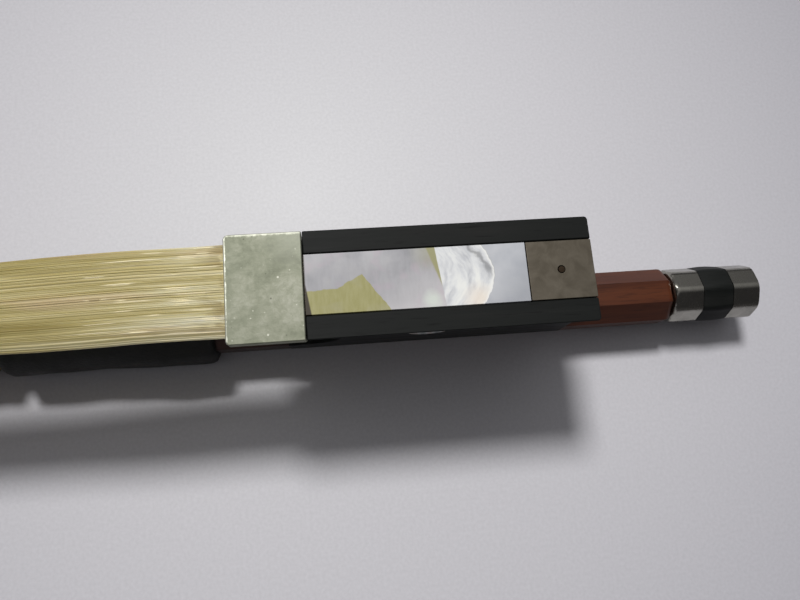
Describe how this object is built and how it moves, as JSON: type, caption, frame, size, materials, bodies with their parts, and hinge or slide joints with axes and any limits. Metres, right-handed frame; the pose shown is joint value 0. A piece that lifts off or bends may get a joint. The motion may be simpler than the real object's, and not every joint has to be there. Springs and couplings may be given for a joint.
{
  "type": "violin bow",
  "caption": "Full size violin bow: cambered wooden stick with carved head, horsehair ribbon, sliding ebony frog and a screw button that tightens the hair.",
  "frame": {"origin": "centre of the bounding box at its lowest point, where the bow rests on its leather and its head with the hair side up", "axes": "+X along the stick toward the button, +Z out of the hair side, +Y to the left seen from the head with the hair up"},
  "size_m": [0.745, 0.0134, 0.0277],
  "materials": {
    "pernambuco": "varnished",
    "ebony": "polished",
    "pearl": "polished",
    "nickel": "tarnished",
    "steel": "bright",
    "brass": "bright",
    "leather": "worn",
    "tan_strip": "satin",
    "dark_strip": "satin",
    "horsehair": "natural",
    "bone": "satin",
    "plain_wood": "bare"
  },
  "bodies": {
    "stick": {"stick": "pernambuco", "head_liner": "ebony", "head_plate": "bone", "head_plug": "plain_wood", "hair_in_head": "horsehair", "hair_ribbon": "horsehair", "hair_at_frog": "horsehair", "thumb_leather": "leather", "winding_dark_layer": "dark_strip", "winding_light_strip": "tan_strip"},
    "frog": {"frog_block": "ebony", "ferrule": "nickel", "spread_wedge": "plain_wood", "pearl_slide": "pearl", "slide_backing": "ebony", "frog_plug": "plain_wood", "heel_plate": "nickel", "heel_pin_top": "nickel", "heel_pin_back": "nickel", "underslide": "nickel", "underslide_screw_front": "nickel", "underslide_screw_rear": "nickel", "eyelet": "brass", "pearl_eye_left": "pearl", "pearl_eye_right": "pearl", "hair_in_frog": "horsehair"},
    "screw": {"screw": "steel", "button_ring": "nickel", "button_core": "ebony", "button_cap": "nickel"}
  },
  "joints": [
    {"name": "frog_slide", "type": "slide", "parent": "stick", "child": "frog", "axis": [1, 0, 0], "range_m": [-0.0014, 0.0056], "deforming": ["hair_at_frog"]},
    {"name": "screw_turn", "type": "hinge", "parent": "stick", "child": "screw", "pos_m": [0.3587, 0, 0.00565], "axis": [-1, 0, 0], "range_deg": [-720.01, 2880.01]}
  ],
  "couplings": [
    {"joint": "screw_turn", "follows": "frog_slide", "rad_per_m": 8976}
  ]
}
